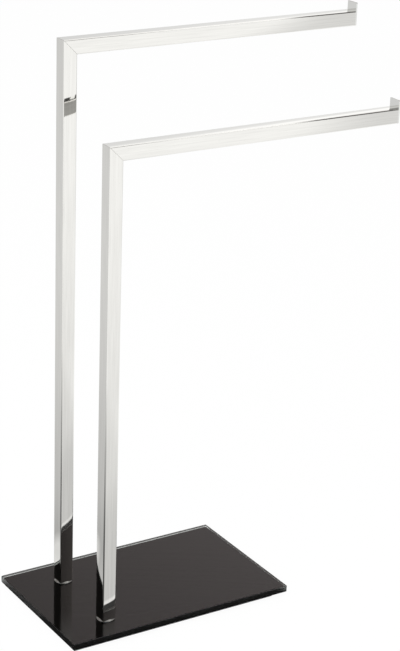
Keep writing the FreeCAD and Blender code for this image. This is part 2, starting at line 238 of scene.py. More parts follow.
# ----------------------------
# Black back coat. A layer of black enamel, screen-printed and baked on the underside of the
# glass and kept back from its edges, which makes the whole plate look black from above.
# ----------------------------


def rounded_outline(width, depth, radius, inset=0.0, steps=8):
    """The corners of a rounded rectangle round the origin, anticlockwise, drawn in by inset."""
    half_x, half_y = width / 2 - radius, depth / 2 - radius
    bend = radius - inset
    points = []
    for turn, (side_x, side_y) in enumerate(((1, 1), (-1, 1), (-1, -1), (1, -1))):
        for step in range(steps + 1):
            angle = math.radians(90 * (turn + step / steps))
            x = side_x * half_x + bend * math.cos(angle)
            y = side_y * half_y + bend * math.sin(angle)
            points.append((x, y))
    return points


def round_hole(centre, diameter, steps=48):
    """Points round a hole, clockwise."""
    angles = [-math.tau * step / steps for step in range(steps)]
    return [
        (centre[0] + diameter / 2 * math.cos(a), centre[1] + diameter / 2 * math.sin(a))
        for a in angles
    ]


def add_wall(mesh, rings):
    """Joins rings of vertices, listed from the bottom up, with faces that point outwards."""
    for low, high in zip(rings, rings[1:]):
        for i in range(len(low)):
            j = (i + 1) % len(low)
            mesh.faces.new((low[i], low[j], high[j], high[i]))


def add_flat(mesh, loops, upwards):
    """Fills the area between an outline and the holes in it."""
    vertices = [v for loop in loops for v in loop]
    for a, b, c in tessellate_polygon([[v.co for v in loop] for loop in loops]):
        corners = [vertices[a], vertices[b], vertices[c]]
        normal = (corners[1].co - corners[0].co).cross(corners[2].co - corners[0].co)
        if (normal.z > 0) != upwards:
            corners.reverse()
        mesh.faces.new(corners)


def make_slab(name, size, corner_radius, layers, material, holes=(), hole_diameter=0.0):
    """A flat plate from layers of (height, inset), from the bottom up, drilled right through."""
    mesh = bmesh.new()

    def ring(points, z):
        return [mesh.verts.new((x * MM, y * MM, z * MM)) for x, y in points]

    outlines = [ring(rounded_outline(*size, corner_radius, inset), z) for z, inset in layers]
    add_wall(mesh, outlines)
    bores = []
    for hole in holes:
        bores.append([ring(round_hole(hole, hole_diameter + 2 * inset), z) for z, inset in layers])
        add_wall(mesh, bores[-1])
    add_flat(mesh, [outlines[0]] + [bore[0] for bore in bores], upwards=False)
    add_flat(mesh, [outlines[-1]] + [bore[-1] for bore in bores], upwards=True)
    data = bpy.data.meshes.new(name)
    mesh.to_mesh(data)
    mesh.free()
    data.materials.append(material)
    return data


PLATE_WIDTH, PLATE_DEPTH = 368, 235
PLATE_CENTRE_X, COAT_BOTTOM = -95.5, 7.8
PLATE_CORNER_RADIUS, PLATE_HOLE = 2.5, 13
COAT_THICKNESS, COAT_MARGIN, COAT_SHARP = 0.2, 1.2, 30
POSTS_X, POSTS_Y = -202.5, {"tall": 60.5, "short": -71.5}
post_holes = [(POSTS_X - PLATE_CENTRE_X, y) for y in POSTS_Y.values()]

# Baked enamel: a warm black with a soft gloss. Seen through the glass it looks even; its
# open side shows the slight orange peel of a screened coat, about 1.5 mm from bump to bump.
enamel, tree, shader = start_material("baked_black_enamel", "#150F0D", {"Roughness": 0.35})
place = add_node(tree, "ShaderNodeTexCoord").outputs["Object"]
cloud = add_node(tree, "ShaderNodeTexNoise", {"Vector": place, "Scale": 0.014 / MM, "Detail": 2})
tone = add_node(
    tree, "ShaderNodeMix", {0: cloud, 6: linear("#17110E"), 7: linear("#130D0C")}, data_type="RGBA"
)
peel = add_node(tree, "ShaderNodeTexNoise", {"Vector": place, "Scale": 0.65 / MM, "Detail": 1})
relief = add_node(tree, "ShaderNodeBump", {"Height": peel, "Strength": 0.4, "Distance": 0.02 * MM})
set_inputs(tree, shader, {"Base Color": tone.outputs[2], "Normal": relief})

coat_size = (PLATE_WIDTH - 2 * COAT_MARGIN, PLATE_DEPTH - 2 * COAT_MARGIN)
coat_layers = [(0, 0), (COAT_THICKNESS, 0)]
data = make_slab(
    "black_enamel_coat", coat_size, PLATE_CORNER_RADIUS, coat_layers, enamel, post_holes, PLATE_HOLE
)
coat_place = (PLATE_CENTRE_X, 0, COAT_BOTTOM)
place_piece("black_enamel_coat", data, coat_place, COAT_SHARP, "black_back_coat")

# ----------------------------
# Glass base plate. A slab of 10 mm toughened float glass with ground and polished edges:
# a narrow chamfer, the arris, runs round both faces, and two drilled holes take the bolts.
# ----------------------------

PLATE_THICKNESS, PLATE_ARRIS, PLATE_SHARP = 10, 0.8, 20
PLATE_BOTTOM = COAT_BOTTOM + COAT_THICKNESS
PLATE_TOP = PLATE_BOTTOM + PLATE_THICKNESS

# Clear float glass: flat and glossy from the float bath, satin where its edges are ground,
# with a faint grey-green from its iron. Wiping leaves a haze too thin to see but in a glare.
float_glass, tree, shader = start_material(
    "clear_float_glass", "#F1F6F3", {"Transmission Weight": 1.0, "Roughness": 0.0, "IOR": 1.52}
)
place = add_node(tree, "ShaderNodeTexCoord").outputs["Object"]
wiped = add_node(
    tree, "ShaderNodeTexNoise", {"Vector": place, "Scale": 0.018 / MM, "Detail": 4, "Distortion": 0.6}
)
haze = add_node(
    tree,
    "ShaderNodeMapRange",
    {"Value": wiped, "From Min": 0.45, "From Max": 0.8, "To Min": 0.0, "To Max": 0.02},
)
side = add_node(tree, "ShaderNodeNewGeometry")
upright = add_node(
    tree, "ShaderNodeVectorMath", {0: side.outputs["Normal"], 1: (0, 0, 1)}, operation="DOT_PRODUCT"
)
upright = add_node(tree, "ShaderNodeMath", {0: upright.outputs["Value"]}, operation="ABSOLUTE")
polish = add_node(
    tree,
    "ShaderNodeMapRange",
    {"Value": upright, "From Min": 0.8, "From Max": 0.95, "To Min": 0.5, "To Max": haze},
)
set_inputs(tree, shader, {"Roughness": polish})

glass_layers = [
    (0, PLATE_ARRIS),
    (PLATE_ARRIS, 0),
    (PLATE_THICKNESS - PLATE_ARRIS, 0),
    (PLATE_THICKNESS, PLATE_ARRIS),
]
plate_size = (PLATE_WIDTH, PLATE_DEPTH)
data = make_slab(
    "toughened_glass_plate",
    plate_size,
    PLATE_CORNER_RADIUS,
    glass_layers,
    float_glass,
    post_holes,
    PLATE_HOLE,
)
glass_place = (PLATE_CENTRE_X, 0, PLATE_BOTTOM)
place_piece("toughened_glass_plate", data, glass_place, PLATE_SHARP, "glass_base_plate")

# ----------------------------
# Clamp rings. Under the plate each bolt pulls on a wide steel washer with a rubber disc
# between it and the coat. The washer is stamped, so one rim is rolled over.
# ----------------------------

BOLT_HOLE, BORE_RIM = 8.6, 0.1
CLAMP_GASKET_DIAMETER, CLAMP_GASKET_THICKNESS = 25, 1
CLAMP_WASHER_DIAMETER, CLAMP_WASHER_THICKNESS = 24, 1.6
CLAMP_GASKET_BOTTOM = COAT_BOTTOM - CLAMP_GASKET_THICKNESS
CLAMP_WASHER_BOTTOM = CLAMP_GASKET_BOTTOM - CLAMP_WASHER_THICKNESS
DISC_RIM, ROLLED_RIM = 0.15, 0.5


def ring_corners(outer, thickness, low_rim, high_rim, bore_rim=BORE_RIM):
    """The half section of a flat ring round the bolt, its outer rims rounded below and above."""
    return [
        (BOLT_HOLE / 2, 0, bore_rim),
        (outer / 2, 0, low_rim),
        (outer / 2, thickness, high_rim),
        (BOLT_HOLE / 2, thickness, bore_rim),
    ]


def place_ring(post, piece, corners, steps, material, bottom, node):
    """Turns a ring and places it on the axis of a post, with its underside at bottom."""
    section = half_section(node, corners, ring=True)
    data = grow(turned_piece, section, {"Steps": steps, "Material": material})
    at = (POSTS_X, POSTS_Y[post], bottom)
    place_piece(f"{post}_{piece}", data, at, TURNED_SHARP, f"{post}_{node}")


# Zinc-plated steel: a cool, dull silver. The plating dulls in cells of a millimetre or two,
# and fine scratches from the barrel it is plated in scatter the light.
zinc, tree, shader = start_material(
    "barrel_zinc_plated_steel", "#BFC3C8", {"Metallic": 1.0, "Roughness": 0.35}
)
place = add_node(tree, "ShaderNodeTexCoord").outputs["Object"]
cells = add_node(tree, "ShaderNodeTexVoronoi", {"Vector": place, "Scale": 0.7 / MM})
tone = add_node(
    tree, "ShaderNodeMix", {0: cells, 6: linear("#C8CCD1"), 7: linear("#AEB3BA")}, data_type="RGBA"
)
scratches = add_node(
    tree, "ShaderNodeTexNoise", {"Vector": place, "Scale": 1.5 / MM, "Detail": 4, "Distortion": 2}
)
dull = add_node(tree, "ShaderNodeMapRange", {"Value": scratches, "To Min": 0.22, "To Max": 0.5})
set_inputs(tree, shader, {"Base Color": tone.outputs[2], "Roughness": dull})

disc = ring_corners(CLAMP_GASKET_DIAMETER, CLAMP_GASKET_THICKNESS, DISC_RIM, DISC_RIM)
washer = ring_corners(CLAMP_WASHER_DIAMETER, CLAMP_WASHER_THICKNESS, ROLLED_RIM, BORE_RIM)
for post in POSTS_Y:
    place_ring(
        post,
        "rubber_clamp_disc",
        disc,
        ROUND_STEPS,
        rubber,
        CLAMP_GASKET_BOTTOM,
        "clamp_gasket",
    )
    place_ring(
        post,
        "stamped_clamp_washer",
        washer,
        ROUND_STEPS,
        zinc,
        CLAMP_WASHER_BOTTOM,
        "clamp_washer",
    )

# ----------------------------
# Bolt sleeves. A short tube of natural nylon lines each hole in the glass, so that the
# steel bolt never touches its ground edge.
# ----------------------------

SLEEVE_DIAMETER, SLEEVE_RIM, SLEEVE_BORE_RIM, SLEEVE_STEPS = 12.6, 0.4, 0.3, 48
sleeve_length = PLATE_TOP - COAT_BOTTOM

# Natural nylon: a milky, slightly yellow white with a satin skin. Light goes a little way in,
# and faint flow marks a few millimetres apart run through it.
nylon, tree, shader = start_material(
    "moulded_natural_nylon",
    "#D8D0C0",
    {"Roughness": 0.45, "IOR": 1.53, "Subsurface Weight": 0.2, "Subsurface Scale": 1.5 * MM},
)
place = add_node(tree, "ShaderNodeTexCoord").outputs["Object"]
flow = add_node(
    tree, "ShaderNodeTexNoise", {"Vector": place, "Scale": 0.22 / MM, "Detail": 2, "Distortion": 1.5}
)
tone = add_node(
    tree, "ShaderNodeMix", {0: flow, 6: linear("#DED7C8"), 7: linear("#D0C7B4")}, data_type="RGBA"
)
satin = add_node(tree, "ShaderNodeMapRange", {"Value": flow, "To Min": 0.38, "To Max": 0.55})
set_inputs(tree, shader, {"Base Color": tone.outputs[2], "Roughness": satin})

sleeve = ring_corners(SLEEVE_DIAMETER, sleeve_length, SLEEVE_RIM, SLEEVE_RIM, SLEEVE_BORE_RIM)
for post in POSTS_Y:
    place_ring(post, "nylon_bolt_sleeve", sleeve, SLEEVE_STEPS, nylon, COAT_BOTTOM, "bolt_sleeve")

# ----------------------------
# Post washers. A round washer of chromed steel, turned with a bevelled rim and polished,
# stands under each post, wider than the tube's sides. A thin rubber disc keeps it off the glass.
# ----------------------------

POST_GASKET_DIAMETER, POST_GASKET_THICKNESS = 25.6, 0.5
POST_WASHER_DIAMETER, POST_WASHER_THICKNESS, POST_WASHER_BEVEL = 26.6, 2, 1.6
BEVEL_FOOT, BEVEL_TOP, RING_SPACING = 0.15, 0.3, 0.4
DISC_STEPS, WASHER_STEPS = 72, 96

# Turned chrome: the lathe's rings, drawn 0.4 mm apart so that they show, show through
# the plating and spread the light to a soft grey sheen.
satin_chrome, tree, shader = start_material(
    "turned_satin_chrome", "#BCBBB7", {"Metallic": 1.0, "Roughness": 0.38}
)
own = add_node(tree, "ShaderNodeAttribute", attribute_name="own_place")
rings = add_node(
    tree,
    "ShaderNodeTexWave",
    {"Vector": own.outputs["Vector"], "Scale": math.pi / (10 * RING_SPACING * MM)},
    wave_type="RINGS",
    rings_direction="Z",
)
gleam = add_node(
    tree, "ShaderNodeMapRange", {"Value": rings.outputs["Fac"], "To Min": 0.32, "To Max": 0.44}
)
relief = add_node(
    tree, "ShaderNodeBump", {"Height": rings.outputs["Fac"], "Strength": 0.3, "Distance": 0.002 * MM}
)
set_inputs(tree, shader, {"Roughness": gleam, "Normal": relief})

disc = ring_corners(POST_GASKET_DIAMETER, POST_GASKET_THICKNESS, DISC_RIM, DISC_RIM)
washer = [
    (BOLT_HOLE / 2, 0, BORE_RIM),
    (POST_WASHER_DIAMETER / 2, 0, BORE_RIM),
    (POST_WASHER_DIAMETER / 2, POST_WASHER_THICKNESS - POST_WASHER_BEVEL, BEVEL_FOOT),
    (POST_WASHER_DIAMETER / 2 - POST_WASHER_BEVEL, POST_WASHER_THICKNESS, BEVEL_TOP),
    (BOLT_HOLE / 2, POST_WASHER_THICKNESS, BORE_RIM),
]
washer_bottom = PLATE_TOP + POST_GASKET_THICKNESS
for post in POSTS_Y:
    place_ring(post, "rubber_post_disc", disc, DISC_STEPS, rubber, PLATE_TOP, "post_gasket")
    place_ring(
        post,
        "turned_post_washer",
        washer,
        WASHER_STEPS,
        satin_chrome,
        washer_bottom,
        "post_washer",
    )

# ----------------------------
# Post bolts. A button-head screw goes up through the rings and the plate into each post. Its
# head is cold-formed round a hexagon socket, and its thread is rolled.
# ----------------------------

HEAD_DIAMETER, HEAD_HEIGHT, HEAD_CROWN = 14, 4.4, 3.4
SOCKET_WIDTH, SOCKET_DEPTH = 5, 2.6
BOLT_DIAMETER, BOLT_LENGTH, BOLT_TIP = 8, 30, 1
THREAD_PITCH, THREAD_DEPTH, THREAD_START, PITCH_ROWS = 1.25, 0.68, 12, 8
THREAD_CREST, THREAD_ROOT = 0.06, 0.44
HEAD_RIM, CROWN_STEPS, BOLT_STEPS = 0.2, 10, 48
BOLT_BOTTOM = CLAMP_WASHER_BOTTOM - HEAD_HEIGHT

# The bolt's tree cuts the socket into a turned blank and then rolls the thread: points on the
# shank sink towards the axis by a zigzag that climbs one pitch a turn.
rolled_bolt, given = start_tree(
    "rolled_bolt",
    {
        "Socket Width": "Float",
        "Socket Depth": "Float",
        "Shank Radius": "Float",
        "Thread Pitch": "Float",
        "Thread Depth": "Float",
        "Thread Start": "Float",
    },
)
corner = add_node(
    rolled_bolt, "ShaderNodeMath", {0: given["Socket Width"], 1: math.sqrt(3)}, operation="DIVIDE"
)
height = add_node(rolled_bolt, "ShaderNodeMath", {0: given["Socket Depth"], 1: 2.0}, operation="MULTIPLY")
punch = add_node(
    rolled_bolt, "GeometryNodeMeshCylinder", {"Vertices": 6, "Radius": corner, "Depth": height}
)
punched = add_node(
    rolled_bolt,
    "GeometryNodeMeshBoolean",
    {"Mesh 1": given["Geometry"], "Mesh 2": punch},
    operation="DIFFERENCE",
    solver="EXACT",
)
place = add_node(rolled_bolt, "GeometryNodeInputPosition")
x, y, z = add_node(rolled_bolt, "ShaderNodeSeparateXYZ", {0: place}).outputs
turn = add_node(rolled_bolt, "ShaderNodeMath", {0: y, 1: x}, operation="ARCTAN2")
turn = add_node(rolled_bolt, "ShaderNodeMath", {0: turn, 1: math.tau}, operation="DIVIDE")
climb = add_node(rolled_bolt, "ShaderNodeMath", {0: z, 1: given["Thread Pitch"]}, operation="DIVIDE")
phase = add_node(rolled_bolt, "ShaderNodeMath", {0: climb, 1: turn}, operation="SUBTRACT")
zigzag = add_node(rolled_bolt, "ShaderNodeMath", {0: phase, 1: 0.5}, operation="PINGPONG")
depth = add_node(
    rolled_bolt,
    "ShaderNodeMapRange",
    {"Value": zigzag, "From Min": THREAD_CREST, "From Max": THREAD_ROOT, "To Max": given["Thread Depth"]},
)
run_in = add_node(
    rolled_bolt, "ShaderNodeMath", {0: given["Thread Start"], 1: given["Thread Pitch"]}, operation="ADD"
)
fade = add_node(
    rolled_bolt, "ShaderNodeMapRange", {"Value": z, "From Min": given["Thread Start"], "From Max": run_in}
)
outwards = add_node(rolled_bolt, "ShaderNodeVectorMath", {0: place, 1: (1, 1, 0)}, operation="MULTIPLY")
reach = add_node(rolled_bolt, "ShaderNodeVectorMath", {0: outwards}, operation="LENGTH")
on_shank = add_node(
    rolled_bolt,
    "ShaderNodeMath",
    {0: reach.outputs["Value"], 1: given["Shank Radius"], 2: 0.02 * MM},
    operation="COMPARE",
)
sunk = add_node(rolled_bolt, "ShaderNodeMath", {0: depth, 1: fade}, operation="MULTIPLY")
sunk = add_node(rolled_bolt, "ShaderNodeMath", {0: sunk, 1: -1.0}, operation="MULTIPLY")
inwards = add_node(rolled_bolt, "ShaderNodeVectorMath", {0: outwards}, operation="NORMALIZE")
offset = add_node(rolled_bolt, "ShaderNodeVectorMath", {0: inwards, "Scale": sunk}, operation="SCALE")
rolled = add_node(
    rolled_bolt, "GeometryNodeSetPosition", {"Geometry": punched, "Selection": on_shank, "Offset": offset}
)
finish_tree(rolled_bolt, given, rolled)

shank_top = HEAD_HEIGHT + BOLT_LENGTH
thread_rows = round((shank_top - BOLT_TIP - THREAD_START) / THREAD_PITCH * PITCH_ROWS)
blank = [(0, 0, 0), (HEAD_DIAMETER / 2, 0, HEAD_CROWN), (HEAD_DIAMETER / 2, HEAD_HEIGHT, HEAD_RIM)]
blank += [(BOLT_DIAMETER / 2, HEAD_HEIGHT, 0)]
for step in range(thread_rows + 1):
    blank.append((BOLT_DIAMETER / 2, THREAD_START + step * THREAD_PITCH / PITCH_ROWS, 0))
blank += [(BOLT_DIAMETER / 2 - BOLT_TIP, shank_top, 0), (0, shank_top, 0)]
thread = {
    "Socket Width": SOCKET_WIDTH * MM,
    "Socket Depth": SOCKET_DEPTH * MM,
    "Shank Radius": BOLT_DIAMETER / 2 * MM,
    "Thread Pitch": THREAD_PITCH * MM,
    "Thread Depth": THREAD_DEPTH * MM,
    "Thread Start": THREAD_START * MM,
    "Material": zinc,
}
for post, post_y in POSTS_Y.items():
    section = half_section("bolt_blank", blank, steps=CROWN_STEPS)
    turned_blank = grow(turned_piece, section, {"Steps": BOLT_STEPS, "Material": zinc})
    data = grow(rolled_bolt, turned_blank, thread)
    at, node = (POSTS_X, post_y, BOLT_BOTTOM), post + "_post_bolt"
    place_piece(post + "_button_head_bolt", data, at, TURNED_SHARP, node)

# ----------------------------
# Foot plugs and corner keys, out of sight in the tubes. The plug is a threaded steel block
# welded into the post's foot; the key is an L of nylon that holds the mitred corner shut.
# Both keep the CAD's mesh and only get their material here.
# ----------------------------

for post in POSTS_Y:
    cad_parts[post + "_foot_plug"].material_slots[0].material = zinc
    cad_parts[post + "_corner_key"].material_slots[0].material = nylon

# ----------------------------
# Posts and arms. Drawn and welded square steel tube, cut off at 45 degrees, joined at the
# corner, ground, polished and chromed. Drawing leaves each side very slightly crowned.
# ----------------------------

TUBE_SIDE, TUBE_WALL, TUBE_CORNER_RADIUS, TUBE_CROWN_RADIUS, SEAM_RADIUS = 22, 1.2, 1.5, 180, 0.3
STEEL_SHARP = 40
POST_BOTTOM = PLATE_TOP + POST_GASKET_THICKNESS + POST_WASHER_THICKNESS
ARM_AXIS_Z, ARM_TUBE_END = {"tall": 841, "short": 724}, {"tall": 277.5, "short": 266.5}


def crowned_square(name, side, corner_radius, crown_radius, crown_steps=12, corner_steps=6):
    """The closed outline of a tube: four crowned sides that run smoothly into round corners."""
    # The corner's centre lies on the diagonal, a corner radius inside both crowns.
    near, far = crown_radius - side / 2, crown_radius - corner_radius
    diagonal = (math.sqrt(2 * far**2 - near**2) - near) / 2
    slope = math.asin(diagonal / far)
    quarter = []
    for step in range(crown_steps):
        angle = slope * (2 * step / crown_steps - 1)
        quarter.append((crown_radius * math.cos(angle) - near, crown_radius * math.sin(angle)))
    for step in range(corner_steps):
        angle = slope + (math.pi / 2 - 2 * slope) * step / corner_steps
        x = diagonal + corner_radius * math.cos(angle)
        quarter.append((x, diagonal + corner_radius * math.sin(angle)))
    points = []
    for turn in range(4):
        quarter_turn = Matrix.Rotation(turn * math.pi / 2, 3, "Z")
        points += [quarter_turn @ Vector((x * MM, y * MM, 0)) for x, y in quarter]
    data = bpy.data.meshes.new(name)
    data.from_pydata(points, [(i, (i + 1) % len(points)) for i in range(len(points))], [])
    return data


def even_shading(data):
    """Lets broad faces set the shading where they meet small rounded edges."""
    data.shade_smooth()
    data.set_sharp_from_angle(angle=math.radians(STEEL_SHARP))
    carrier = add_object(data.name, data)
    modifier = carrier.modifiers.new("even_shading", "WEIGHTED_NORMAL")
    modifier.keep_sharp = True
    return plain_mesh(carrier)


# The tube's tree stands a strip as thick as the wall on end, carries it round the section and
# leans its top over at 45 degrees. The strip's outer top corner is rounded for the seam.
mitred_tube, given = start_tree("mitred_tube", {"Wall": "Float", "Length": "Float", "Seam Radius": "Float"})
outline = add_node(mitred_tube, "GeometryNodeMeshToCurve", {"Mesh": given["Geometry"]})
strip = add_node(
    mitred_tube,
    "GeometryNodeCurvePrimitiveQuadrilateral",
    {"Width": given["Wall"], "Height": given["Length"]},
)
place = add_node(mitred_tube, "GeometryNodeInputPosition")
x, y, z = add_node(mitred_tube, "ShaderNodeSeparateXYZ", {0: place}).outputs
outer = add_node(mitred_tube, "ShaderNodeMath", {0: x, 1: 0.0}, operation="GREATER_THAN")
top = add_node(mitred_tube, "ShaderNodeMath", {0: y, 1: 0.0}, operation="LESS_THAN")
outer_top = add_node(mitred_tube, "ShaderNodeMath", {0: outer, 1: top}, operation="MULTIPLY")
rounding = add_node(
    mitred_tube, "ShaderNodeMath", {0: outer_top, 1: given["Seam Radius"]}, operation="MULTIPLY"
)
rounded = add_node(
    mitred_tube, "GeometryNodeFilletCurve", {"Curve": strip, "Count": 4, "Radius": rounding}, mode="POLY"
)
half_wall = add_node(mitred_tube, "ShaderNodeMath", {0: given["Wall"], 1: -0.5}, operation="MULTIPLY")
half_length = add_node(mitred_tube, "ShaderNodeMath", {0: given["Length"], 1: -0.5}, operation="MULTIPLY")
shift = add_node(mitred_tube, "ShaderNodeCombineXYZ", {"X": half_wall, "Y": half_length})
stood = add_node(mitred_tube, "GeometryNodeTransform", {"Geometry": rounded, "Translation": shift})
carried = add_node(mitred_tube, "GeometryNodeCurveToMesh", {"Curve": outline, "Profile Curve": stood})
half_up = add_node(mitred_tube, "ShaderNodeMath", {0: given["Length"], 1: 0.5}, operation="MULTIPLY")
at_top = add_node(mitred_tube, "ShaderNodeMath", {0: z, 1: half_up}, operation="GREATER_THAN")
lean = add_node(mitred_tube, "ShaderNodeMath", {0: x, 1: -1.0}, operation="MULTIPLY")
lean = add_node(mitred_tube, "ShaderNodeCombineXYZ", {"Z": lean})
leant = add_node(
    mitred_tube, "GeometryNodeSetPosition", {"Geometry": carried, "Selection": at_top, "Offset": lean}
)
finish_tree(mitred_tube, given, leant)

# Bright chrome on drawn tube: nearly a mirror. Polishing lines, drawn 0.6 mm apart so that
# they show, run along the tube, wiping leaves faint streaks 2 mm wide, and the sides wander
# by a hundredth of a millimetre. Each pattern below has a width and a length in millimetres,
# and its detail.
TUBE_PATTERNS = {
    "wiped streaks": (2, 60, 2),
    "polishing lines": (0.6, 90, 2),
    "wandering sides": (14, 80, 1),
}
tube_chrome, tree, shader = start_material(
    "bright_chrome_on_drawn_tube", "#F4F3EF", {"Metallic": 1.0, "Roughness": 0.03}
)
own = add_node(tree, "ShaderNodeAttribute", attribute_name="own_place")
patterns = {}
for pattern, (wide, long, detail) in TUBE_PATTERNS.items():
    scale = (1 / (wide * MM), 1 / (wide * MM), 1 / (long * MM))
    drawn_out = add_node(tree, "ShaderNodeMapping", {"Vector": own.outputs["Vector"], "Scale": scale})
    patterns[pattern] = add_node(
        tree, "ShaderNodeTexNoise", {"Vector": drawn_out, "Scale": 1.0, "Detail": detail}
    )
streaks = add_node(
    tree, "ShaderNodeMapRange", {"Value": patterns["wiped streaks"], "From Min": 0.3, "From Max": 0.7}
)
tone = add_node(
    tree, "ShaderNodeMix", {0: streaks, 6: linear("#F8F7F3"), 7: linear("#F0EFEB")}, data_type="RGBA"
)
gleam = add_node(
    tree, "ShaderNodeMapRange", {"Value": patterns["polishing lines"], "To Min": 0.02, "To Max": 0.05}
)
relief = add_node(
    tree, "ShaderNodeBump", {"Height": patterns["wandering sides"], "Strength": 1.0, "Distance": 0.01 * MM}
)
set_inputs(tree, shader, {"Base Color": tone.outputs[2], "Roughness": gleam, "Normal": relief})

section = crowned_square("tube_section", TUBE_SIDE, TUBE_CORNER_RADIUS, TUBE_CROWN_RADIUS)
for post, post_y in POSTS_Y.items():
    tube = {"Wall": TUBE_WALL * MM, "Seam Radius": SEAM_RADIUS * MM, "Material": tube_chrome}
    tube["Length"] = (ARM_AXIS_Z[post] - POST_BOTTOM) * MM
    data = even_shading(grow(mitred_tube, section.copy(), tube))
    at = (POSTS_X, post_y, POST_BOTTOM)
    place_piece(post + "_chromed_post", data, at, STEEL_SHARP, post + "_post")
    tube["Length"] = (ARM_TUBE_END[post] - POSTS_X) * MM
    data = even_shading(grow(mitred_tube, section.copy(), tube))
    # Laid down, the tube's foot points along +X and its long side faces up.
    data.transform(Matrix(((0, 0, -1, 0), (0, -1, 0, 0), (-1, 0, 0, 0), (0, 0, 0, 1))))
    at = (ARM_TUBE_END[post], post_y, ARM_AXIS_Z[post])
    place_piece(post + "_chromed_arm", data, at, STEEL_SHARP, post + "_arm")

# ----------------------------
# Arm stops. A flat steel plate with rounded rims is welded on each arm's end and stands up
# above it, so that a towel can't slide off. It is polished and chromed with the arm.
# ----------------------------

STOP_THICKNESS, STOP_RISE, STOP_RIM, RIM_STEPS = 2, 13, 0.4, 4

# Bright chrome on flat plate: the buffing wheel leaves loose curls, drawn about 1 mm apart.
plate_chrome, tree, shader = start_material(
    "bright_chrome_on_flat_plate", "#F9F9F6", {"Metallic": 1.0, "Roughness": 0.03}
)
place = add_node(tree, "ShaderNodeTexCoord").outputs["Object"]
curls = add_node(
    tree, "ShaderNodeTexNoise", {"Vector": place, "Scale": 1 / MM, "Detail": 3, "Distortion": 3}
)
gleam = add_node(tree, "ShaderNodeMapRange", {"Value": curls, "To Min": 0.02, "To Max": 0.06})
set_inputs(tree, shader, {"Roughness": gleam})

rim_layers = []
for step in range(RIM_STEPS + 1):
    angle = math.pi / 2 * step / RIM_STEPS
    rim_layers.append((STOP_RIM * (1 - math.cos(angle)), STOP_RIM * (1 - math.sin(angle))))
rim_layers += [(STOP_THICKNESS - z, inset) for z, inset in reversed(rim_layers)]
stop_size = (TUBE_SIDE, TUBE_SIDE + STOP_RISE)
for post, post_y in POSTS_Y.items():
    data = make_slab("arm_stop", stop_size, TUBE_CORNER_RADIUS, rim_layers, plate_chrome)
    # Stood up, the slab's width runs along Y, its depth upwards and its thickness along +X.
    data.transform(Matrix(((0, 0, 1, 0), (1, 0, 0, 0), (0, 1, 0, 0), (0, 0, 0, 1))))
    at = (ARM_TUBE_END[post], post_y, ARM_AXIS_Z[post] + STOP_RISE / 2)
    data = even_shading(data)
    place_piece(post + "_welded_stop", data, at, STEEL_SHARP, post + "_arm_stop")

# ----------------------------
# The studio: a white floor, plain to the camera and painted with light and shade for
# mirrors, and a pale room, with one large soft lamp.
# ----------------------------


def set_levels(ramp_node, levels):
    """Gives a colour ramp its grey levels, listed as (position, level)."""
    ramp = ramp_node.color_ramp
    for position, level in levels[1:-1]:
        ramp.elements.new(position)
    for element, (position, level) in zip(ramp.elements, levels):
        element.position = position
        element.color = (level, level, level, 1)


def within(tree, places, centre, size):
    """Nodes that give 1 inside a rectangle of the floor and 0 outside it; sizes in millimetres."""
    on_both = []
    for place, middle, length in zip(places, centre, size):
        reach = {0: place, 1: middle * MM, 2: length / 2 * MM}
        on_both.append(add_node(tree, "ShaderNodeMath", reach, operation="COMPARE"))
    return add_node(tree, "ShaderNodeMath", dict(enumerate(on_both)), operation="MULTIPLY")


FLOOR_HALF, FLOOR_DIM, SIDE_SHADE = 9.0, 2.4, 8
# Rectangles under the plate: where the floor is painted dark to the camera, and where it glows with painted
# light.
GAP_CENTRE, GAP_SIZE = (-102.1, 5.8), (341.2, 223.4)
GLOW_CENTRE, GLOW_SIZE = (-102.1, 12.5), (341.2, 210)
OPEN_LEVEL, GLOW_LEVEL, GAP_LEVEL, GLOW_SHARE = 0.98, 0.6, 0.05, 0.96
floor_data = bpy.data.meshes.new("studio_floor")
floor_corners = [(x * FLOOR_HALF, y * FLOOR_HALF, 0) for x, y in ((-1, -1), (1, -1), (1, 1), (-1, 1))]
floor_data.from_pydata(floor_corners, [], [(0, 1, 2, 3)])
floor = add_object("studio_floor", floor_data)

# Matt white floor. The camera sees it white; mirrors see it glow with painted light and
# shade: a painted falloff of the studio's light towards the stand, and the plate's painted
# shade close round it.
floor_with_painted_light = bpy.data.materials.new("white_floor_with_painted_light_and_shade")
floor_with_painted_light.use_nodes = True
tree = floor_with_painted_light.node_tree
tree.nodes.clear()
place = add_node(tree, "ShaderNodeTexCoord").outputs["Object"]
x, y = add_node(tree, "ShaderNodeSeparateXYZ", {0: place}).outputs[:2]
# Painted shade for mirrors: the floor is painted darker close to the stand, lighter far off.
distance = add_node(tree, "ShaderNodeVectorMath", {0: place}, operation="LENGTH")
near_far = add_node(tree, "ShaderNodeMapRange", {"Value": distance.outputs["Value"], "From Max": FLOOR_DIM})
falloff = add_node(tree, "ShaderNodeValToRGB", {"Fac": near_far})
set_levels(
    falloff,
    [
        (0.085, 0.58),
        (0.14, 0.6),
        (0.17, 0.63),
        (0.217, 0.72),
        (0.262, 0.752),
        (0.346, 0.825),
        (0.44, 0.868),
        (0.56, 0.909),
        (0.7, 0.938),
        (1.0, 0.985),
    ],
)
